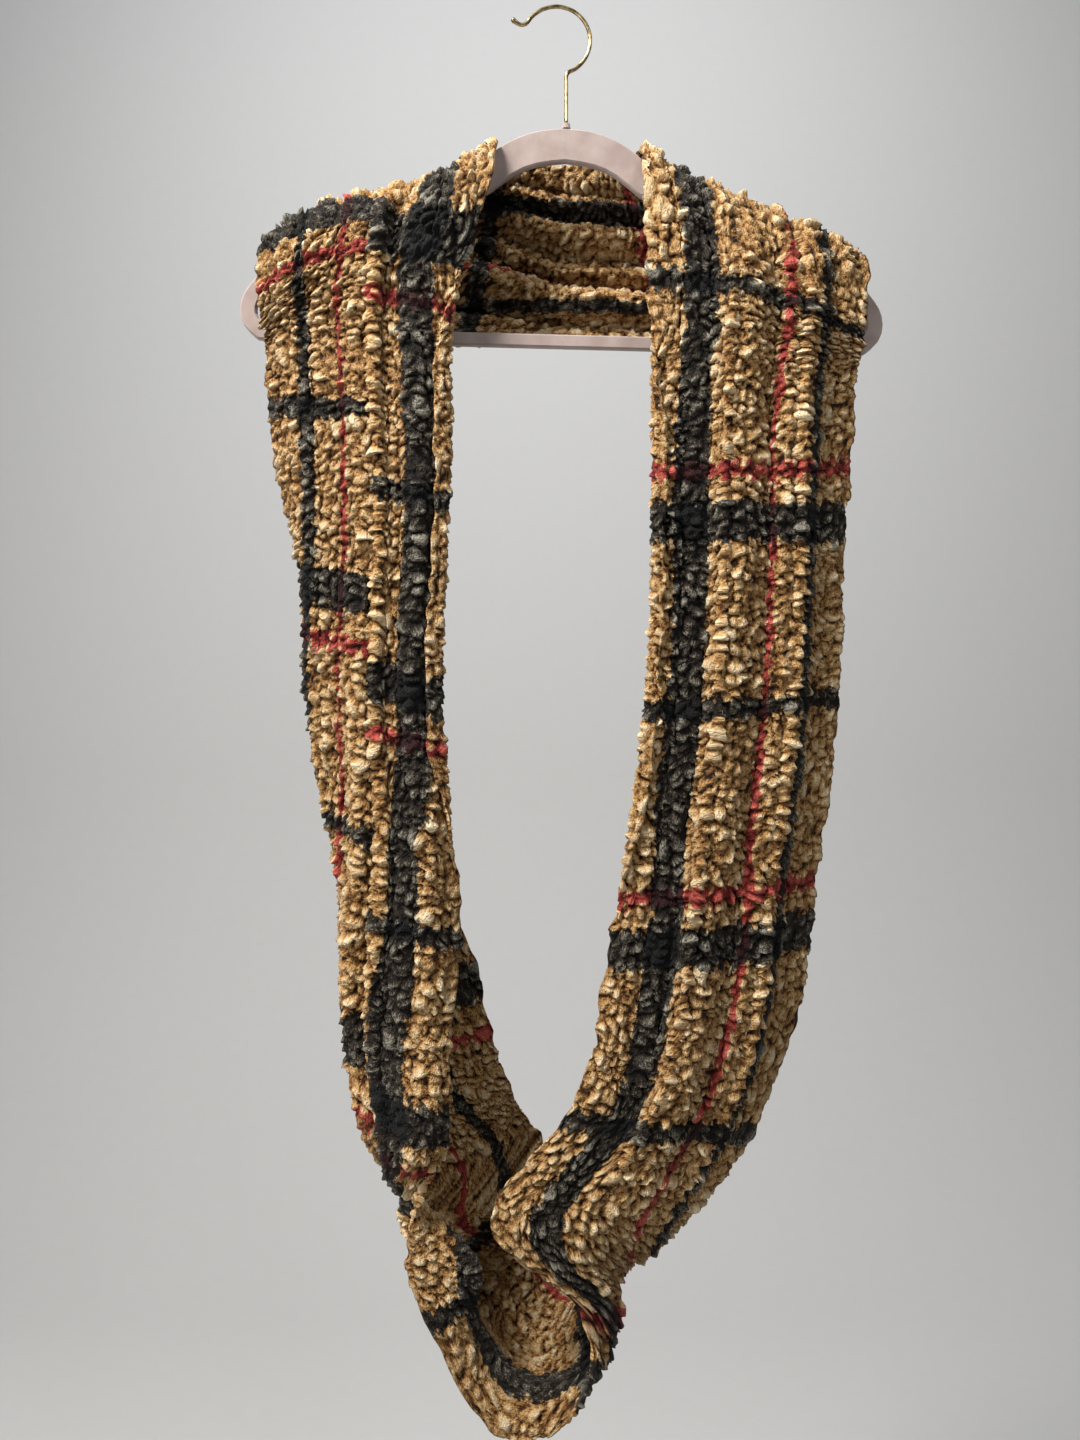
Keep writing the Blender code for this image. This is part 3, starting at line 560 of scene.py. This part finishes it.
def meshFrom(name, places, faces):
    mesh = bpy.data.meshes.new(name)
    mesh.vertices.add(len(places))
    mesh.vertices.foreach_set("co", places.ravel())
    mesh.loops.add(faces.size)
    mesh.loops.foreach_set("vertex_index", faces.ravel())
    mesh.polygons.add(len(faces))
    mesh.polygons.foreach_set("loop_start", np.arange(0, faces.size, faces.shape[1]))
    mesh.polygons.foreach_set("use_smooth", np.ones(len(faces), bool))
    mesh.update(calc_edges=True)
    mesh.validate()
    return mesh


def addPiece(name, mesh, finish, slot, *nodes):
    piece = bpy.data.objects.new(name, mesh)
    bpy.context.scene.collection.objects.link(piece)
    piece.data.materials.append(finish)
    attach(piece, "root")
    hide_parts(*nodes)
    return piece


# Shader maths: values that add, multiply and compare by adding Math nodes.


class Value:
    # One output socket of a node in a material's tree.
    def __init__(self, tree, socket):
        self.tree = tree
        self.socket = socket

    def node(self, kind, settings=None, links=None, out=0):
        made = self.tree.nodes.new(kind)
        for key, setting in (settings or {}).items():
            if key == "stops":
                while len(made.color_ramp.elements) < len(setting):
                    made.color_ramp.elements.new(0.5)
                for element, (place, colour) in zip(made.color_ramp.elements, setting):
                    element.position = place
                    element.color = (*colour, 1)
            else:
                setattr(made, key, setting)
        for key, link in (links or {}).items():
            socket = made.inputs[key]
            if isinstance(link, Value):
                self.tree.links.new(link.socket, socket)
            elif hasattr(link, "__len__") and socket.type == "RGBA":
                socket.default_value = (*link, 1)
            else:
                socket.default_value = link
        return Value(self.tree, made.outputs[out])

    def math(self, operation, first, second=0.0):
        return self.node("ShaderNodeMath", {"operation": operation}, {0: first, 1: second})

    def __add__(self, other):
        return self.math("ADD", self, other)

    def __sub__(self, other):
        return self.math("SUBTRACT", self, other)

    def __rsub__(self, other):
        return self.math("SUBTRACT", other, self)

    def __mul__(self, other):
        return self.math("MULTIPLY", self, other)

    __radd__ = __add__

    def wrap(self, period):
        return self.math("FLOORED_MODULO", self, period)

    def size(self):
        return self.math("ABSOLUTE", self)

    def most(self, other):
        return self.math("MAXIMUM", self, other)

    def ramp(self, low, high, start=0.0, end=1.0):  # smooth change from start to end between low and high
        links = {"Value": self, "From Min": low, "From Max": high, "To Min": start, "To Max": end}
        return self.node("ShaderNodeMapRange", {"interpolation_type": "SMOOTHSTEP"}, links)

    def band(self, first, last, soft):  # one between first and last
        return self.ramp(first - soft, first + soft) * self.ramp(last - soft, last + soft, 1.0, 0.0)

    def mix(self, first, second):  # colours, with this value as the share of the second
        links = {0: self, 6: first, 7: second}
        return self.node("ShaderNodeMix", {"data_type": "RGBA"}, links, 2)

    def shade(self, colour):  # the colour made lighter or darker by this value
        links = {0: colour, "Scale": self}
        return self.node("ShaderNodeVectorMath", {"operation": "SCALE"}, links)


def colour(code):  # linear colour of a six-figure hex code
    parts = [int(code[i:i + 2], 16) / 255 for i in (0, 2, 4)]
    return tuple(((c + 0.055) / 1.055) ** 2.4 if c > 0.04 else c / 12.92 for c in parts)


def newFinish(name, constants):
    finish = bpy.data.materials.new(name)
    finish.use_nodes = True
    shader = finish.node_tree.nodes["Principled BSDF"]
    for key, constant in constants.items():
        shader.inputs[key].default_value = constant
    start = Value(finish.node_tree, shader.outputs[0])
    return finish, shader, start


def connect(value, shader, key):
    value.tree.links.new(value.socket, shader.inputs[key])


# Plaid cloth

plaid = {
    "repeats": 7,  # crosswise repeats round the loop
    "start": 0.4,  # share of a repeat at which the loop begins
    "broadCross": (0.0, 0.027),
    "redCross": (0.043, 0.053),
    "narrowCross": (0.166, 0.179),
    "broadLong": (0.036, 0.070),
    "narrowLong": (0.186, 0.199),
    "redLong": (0.146, 0.153),
    "softness": 0.0007,  # of the stripes' edges
    "jag": (0.018, 0.0135),  # how much the edges wander, along and across
    # Shares of the brightness, from the painted shade of the valleys to the painted highlight on the tops of
    # the puffs, and their colours.
    "tan": ((0.0, "1E0E02"), (0.25, "84582A"), (0.5, "BC945E"), (0.92, "E6D1AC")),
    "charcoal": ((0.05, "010101"), (0.3, "090807"), (0.55, "211F1A"), (1.0, "8A867A")),
    "red": ((0.0, "3A0A0C"), (0.35, "8A2022"), (0.9, "C04C46")),
    "black": "0A0A0A",
    "darkRed": "26090B",
    "redCover": 0.92,
    "darkCover": 0.97,
    # Noises: scale along and across the cloth, detail, roughness.
    "noises": {
        "jagAlong": (150, 150, 2, 0.55),
        "jagAcross": (140, 160, 2, 0.6),
        "patch": (60, 110, 2, 0.55),
        "fleck": (560, 700, 3, 0.7),
        "yarn": (900, 2600, 2, 0.55),
        "curl": (210, 250, 2, 0.55),
        "strand": (520, 640, 2, 0.55),
    },
    "ridgeFall": 5.0,
    # Weight of each thing, and its value that changes nothing. Through the puff's height, shade is painted
    # into the valleys and light onto the tops of the puffs.
    "paintedLightAndTone": {
        "puff": (0.75, 0),
        "patch": (0.3, 0.5),
        "fleck": (0.4, 0.5),
        "yarn": (0.2, 0.5),
        # Thin bright lines: painted highlights along curled edges. The same lines are also bumped, in the
        # relief below.
        "curl": (0.22, 0.35),
        "strand": (0.2, 0.35),
    },
    "lightFibres": {"fleck": (0.7, 0.5), "yarn": (0.5, 0.5)},  # what the dark yarn shows besides
    "relief": {"curl": (0.8, 0), "strand": (0.45, 0), "yarn": (0.15, 0), "fleck": (0.3, 0)},
    "reliefHeight": 0.0012,
    "shadow": (0.0, 0.17, 0.5, 1.0),  # of the valleys: lowest and highest puff height, and brightness there
    "roughness": (0.62, 0.2),  # least, and what the flecks add
}


def plaidFinish():
    finish, shader, start = newFinish(
        "plaidCloth",
        {"Sheen Weight": 0.04, "Sheen Roughness": 0.4, "Specular IOR Level": 0.2},
    )
    thread = start.node("ShaderNodeUVMap", {"uv_map": "thread"})
    along, across = [start.node("ShaderNodeSeparateXYZ", None, {0: thread}, out) for out in (0, 1)]

    def noise(name):
        scaleAlong, scaleAcross, detail, rough = plaid["noises"][name]
        scales = {0: thread, 1: (scaleAlong, scaleAcross, 1)}
        stretched = start.node("ShaderNodeVectorMath", {"operation": "MULTIPLY"}, scales)
        links = {"Vector": stretched, "Scale": 1.0, "Detail": detail, "Roughness": rough}
        return start.node("ShaderNodeTexNoise", {"noise_dimensions": "2D"}, links)

    def ridge(name):  # one on thin wandering lines, falling off to both sides
        return (1.0 - (noise(name) - 0.5).size() * plaid["ridgeFall"]).most(0.0)

    period = loopLength / plaid["repeats"]
    place = (along + (noise("jagAlong") - 0.5) * plaid["jag"][0] + plaid["start"] * period).wrap(period)
    side = across + (noise("jagAcross") - 0.5) * plaid["jag"][1]

    def stripe(where, name):
        return where.band(*plaid[name], plaid["softness"])

    darkCross = stripe(place, "broadCross").most(stripe(place, "narrowCross"))
    darkLong = stripe(side, "broadLong").most(stripe(side, "narrowLong"))
    red = stripe(place, "redCross").most(stripe(side, "redLong"))
    dark = darkCross.most(darkLong)
    both = darkCross * darkLong

    looks = {name: noise(name) for name in ("patch", "fleck", "yarn")}
    looks.update({name: ridge(name) for name in ("curl", "strand")})
    looks["puff"] = start.node("ShaderNodeAttribute", {"attribute_name": "puff"}, out=2)

    def weighted(name):
        return sum((looks[key] - middle) * weight for key, (weight, middle) in plaid[name].items())

    def toned(name, tone):
        stops = [(share, colour(code)) for share, code in plaid[name]]
        return tone.node("ShaderNodeValToRGB", {"stops": stops}, {0: tone})

    # The tone paints shade into the puffs' valleys and highlight onto their tops, and adds tone that differs
    # at random.
    tone = weighted("paintedLightAndTone")
    charcoal = toned("charcoal", tone + weighted("lightFibres"))
    cloth = (red * plaid["redCover"]).mix(toned("tan", tone), toned("red", tone))
    deep = red.mix(charcoal, colour(plaid["darkRed"]))
    cloth = (dark * plaid["darkCover"]).mix(cloth, deep)
    cloth = both.mix(cloth, colour(plaid["black"]))
    connect(looks["puff"].ramp(*plaid["shadow"]).shade(cloth), shader, "Base Color")
    roughness, fleckRoughness = plaid["roughness"]
    connect(roughness + looks["fleck"] * fleckRoughness, shader, "Roughness")
    relief = {"Strength": 1.0, "Distance": plaid["reliefHeight"], "Height": weighted("relief")}
    connect(start.node("ShaderNodeBump", None, relief), shader, "Normal")
    return finish


def buildScarf():
    cloth, rows = puckeredCloth()
    normals = loopNormals(cloth["under"], cloth["upper"])
    finish = plaidFinish()
    first = 0
    total = len(cloth["under"])
    for (name, node, start, end, held), count in zip(scarf["stretches"], rows):
        keys = np.arange(first, first + count + 1) % total
        first += count
        thread = cloth["thread"][keys].copy()
        if keys[-1] < keys[0]:  # the last row closes the loop
            thread[-1, :, 0] += loopLength
        heights = (cloth["underPuff"][keys], cloth["upperPuff"][keys])
        corners = np.stack([normal[keys] for normal in normals])
        mesh = shellMesh(name, cloth["under"][keys], cloth["upper"][keys], thread, heights, corners)
        piece = addPiece(name, mesh, finish, "cloth", node)
        cut = (scarf["cutWidth"], lengthAt(end) - lengthAt(start))
        print(name, len(mesh.polygons), "faces")


buildScarf()
print("scarf done")


# Hanger and hook

hanger = {
    "flock": ("988680", "AE9F99"),
    "pile": (2600, 2),  # noise: scale and detail
    "worn": (60, 3),
    "pileShare": 0.35,  # of the colour's change; the worn noise has the rest
    "flockChange": (0.3, 0.7),
    "flockRoughness": (0.85, 0.12),  # least, and what the noise adds
    "pileHeight": 0.0003,
    "brass": ("8F7A55", "CDBB92"),
    "stain": (300, 4),
    "brassChange": (0.35, 0.7),
    "brassRoughness": (0.2, 0.2),
}


# A finish between two colours, with uneven roughness, by noises in the object's own space.
def noisyFinish(name, constants, weights, rougher):
    finish, shader, start = newFinish(name, constants)
    place = start.node("ShaderNodeTexCoord", out=3)
    noises = {}
    for key in weights:
        scale, detail = hanger[key]
        links = {"Vector": place, "Scale": scale, "Detail": detail}
        noises[key] = start.node("ShaderNodeTexNoise", None, links)
    tone = sum(noises[key] * weight for key, weight in weights.items()).ramp(*hanger[name + "Change"])
    connect(tone.mix(*[colour(code) for code in hanger[name]]), shader, "Base Color")
    least, more = hanger[name + "Roughness"]
    connect(least + noises[rougher] * more, shader, "Roughness")
    return finish, shader, noises


def flockFinish():
    constants = {"Sheen Weight": 0.5, "Sheen Roughness": 0.4, "Specular IOR Level": 0.2}
    weights = {"pile": hanger["pileShare"], "worn": 1 - hanger["pileShare"]}
    finish, shader, noises = noisyFinish("flock", constants, weights, "pile")
    relief = {"Strength": 0.5, "Distance": hanger["pileHeight"], "Height": noises["pile"]}
    connect(noises["pile"].node("ShaderNodeBump", None, relief), shader, "Normal")
    return finish


flock = flockFinish()
brass = noisyFinish("brass", {"Metallic": 1.0}, {"stain": 1.0}, "stain")[0]
for node in ("hanger_frame", "hanger_collar"):
    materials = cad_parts[node].data.materials
    materials.clear()
    materials.append(flock)


# Wire, in millimetres and degrees: the middle line goes up the stem, round part of a circle and out into
# the curl, as one smooth curve, and a circle is carried along it, a little wider at the tip.
wire = {
    "radius": 1.35,
    "foot": (3.5, -80.8),
    "stem": (0, 15, 28, 33),  # heights over the foot
    "ring": (-3.5, -22.45, 23.8),  # centre and radius
    "ringTurn": (-69, 147),
    "ringPoints": 31,
    "curl": ((-2.0, -1.6), (-4.4, -1.9), (-6.8, -1.0), (-9.0, 0.6), (-11.0, 2.4)),  # from the circle's end
    "tipSwell": 0.35,
    "tipReach": 2,  # points of the middle line, the unit of the next three
    "swellFrom": 0.2,
    "tipRound": 0.25,  # length of the rounded end
    "tipEnd": 0.06,  # place on it where the wire stops, in a small flat face
    "steps": 320,
    "sides": 20,
}


def buildWire():
    centreX, centreZ, radius = wire["ring"]
    turn = np.radians(np.linspace(*wire["ringTurn"], wire["ringPoints"]))
    ring = np.stack([centreX + radius * np.cos(turn), centreZ + radius * np.sin(turn)], axis=1)
    stem = np.array([(wire["foot"][0], wire["foot"][1] + height) for height in wire["stem"]])
    curl = ring[-1] + np.array(wire["curl"])
    knots = np.concatenate([stem, ring, curl]) * mm
    where = np.linspace(0, len(knots) - 1, wire["steps"])
    line = cubic(np.arange(len(knots), dtype=float), knots, openSlopes(knots), where)
    line = np.stack([line[:, 0], 0 * where, line[:, 1]], axis=1)
    onward = unit(np.gradient(line, axis=0))
    inPlane = np.stack([-onward[:, 2], 0 * where, onward[:, 0]], axis=1)
    toEnd = (where[-1] - where) / wire["tipReach"]
    width = wire["radius"] * mm * (1 + wire["tipSwell"] * (1 - smoothStep(toEnd - wire["swellFrom"])))
    rounding = 1 - np.clip(toEnd / wire["tipRound"], wire["tipEnd"], 1)
    width *= np.sqrt(np.clip(1 - rounding**2, 0, 1))
    sides = wire["sides"]
    angle = np.linspace(0, 2 * np.pi, sides, endpoint=False)[None, :, None]
    circle = np.cos(angle) * inPlane[:, None] + np.sin(angle) * np.array([0, 1.0, 0])
    places = line[:, None] + width[:, None, None] * circle
    number = np.arange(len(where) * sides).reshape(-1, sides)
    nextSide = np.roll(number, -1, axis=1)
    around = np.stack([number[:-1], nextSide[:-1], nextSide[1:], number[1:]], axis=-1).reshape(-1, 4)
    low = np.arange(sides // 2 - 1)
    cap = np.stack([low, sides - 1 - low, sides - 2 - low, low + 1], axis=1)  # rungs across an end
    faces = np.concatenate([around, cap, cap[:, ::-1] + number[-1, 0]])
    addPiece("hookWire", meshFrom("hookWire", places.reshape(-1, 3), faces), brass, "brass", "hanger_hook")


buildWire()
print("hanger done")


# Studio: a pale sweep far behind, soft lights, and the camera of the photograph

studio = {
    "floorHeight": -1.75,
    "floorFront": -4.0,
    "wallDistance": 2.6,
    "wallTop": 3.0,
    "halfWidth": 5.0,
    "sweepRadius": 1.1,
    "sweepSteps": 24,
    "paper": "D9D9D8",
    "grain": (40, 3),  # noise: scale and detail
    "grainShade": (0.98, 0.04),  # least, and what the noise adds
    # Light: name, place, target, width and height, watts, colour.
    "lights": (
        ("windowLight", (0.8, -1.2, 0.8), (0, 0, -0.5), (0.5, 0.5), 11, (0.94, 0.97, 1.0)),
        ("ceilingLight", (-0.8, -0.65, 0.9), (0, 0, -0.5), (0.4, 0.4), 50, (1.0, 0.97, 0.93)),
        ("fillLight", (-1.8, -1.3, -0.3), (0, 0, -0.5), (1.2, 1.6), 22, (1.0, 0.98, 0.95)),
        ("wallLight", (-0.1, 0.7, 2.1), (-0.1, 2.6, 0.7), (2.4, 1.0), 36, (0.97, 0.98, 1.0)),
    ),
    "surroundings": (0.9, 0.9, 0.9, 1),
    "surroundingsStrength": 0.09,
    "cameraPlace": (-0.0148, -0.760, -0.498),
    "sensor": 36,
    "halfView": 0.504 / 0.760,  # half the height of the picture, by the camera's distance
}


# Sweep: a floor, a quarter circle and a wall, drawn as one curve of distance and carried sideways.
def buildSweep():
    arc = np.linspace(-np.pi / 2, 0, studio["sweepSteps"])
    radius = studio["sweepRadius"]
    low = studio["floorHeight"]
    far = studio["wallDistance"]
    y = np.concatenate([[studio["floorFront"]], far - radius + radius * np.cos(arc), [far]])
    z = np.concatenate([[low], low + radius + radius * np.sin(arc), [studio["wallTop"]]])
    x = np.array([-studio["halfWidth"], studio["halfWidth"]])
    grid = np.stack(np.broadcast_arrays(x[None, :], y[:, None], z[:, None]), axis=-1)
    number = np.arange(grid[..., 0].size).reshape(grid.shape[:2])
    faces = np.stack([number[:-1, 0], number[:-1, 1], number[1:, 1], number[1:, 0]], axis=1)
    sweep = bpy.data.objects.new("sweep", meshFrom("sweep", grid.reshape(-1, 3), faces))
    bpy.context.scene.collection.objects.link(sweep)
    finish, shader, start = newFinish("paper", {"Roughness": 0.9, "Specular IOR Level": 0.2})
    place = start.node("ShaderNodeTexCoord", out=3)
    scale, detail = studio["grain"]
    grain = start.node("ShaderNodeTexNoise", None, {"Vector": place, "Scale": scale, "Detail": detail})
    least, more = studio["grainShade"]
    connect((least + grain * more).shade(colour(studio["paper"])), shader, "Base Color")
    sweep.data.materials.append(finish)


def addLight(name, place, target, size, power, tint):
    data = bpy.data.lights.new(name, "AREA")
    data.shape = "RECTANGLE"
    data.size, data.size_y = size
    data.energy = power
    data.color = tint
    light = bpy.data.objects.new(name, data)
    bpy.context.scene.collection.objects.link(light)
    light.location = place
    aim = np.array(target, float) - np.array(place, float)
    flat = math.hypot(aim[0], aim[1])
    light.rotation_euler = (math.atan2(flat, -aim[2]), 0, math.atan2(-aim[0], aim[1]))


buildSweep()
for light in studio["lights"]:
    addLight(*light)

world = bpy.data.worlds.new("studio")
world.use_nodes = True
background = world.node_tree.nodes["Background"]
background.inputs[0].default_value = studio["surroundings"]
background.inputs[1].default_value = studio["surroundingsStrength"]
bpy.context.scene.world = world
bpy.context.scene.view_settings.view_transform = "Standard"

cameraData = bpy.data.cameras.new("camera")
cameraData.sensor_width = studio["sensor"]
cameraData.lens = studio["sensor"] / 2 / studio["halfView"]
camera = bpy.data.objects.new("camera", cameraData)
bpy.context.scene.collection.objects.link(camera)
camera.location = studio["cameraPlace"]
camera.rotation_euler = (math.pi / 2, 0, 0)
bpy.context.scene.camera = camera
print("studio done")
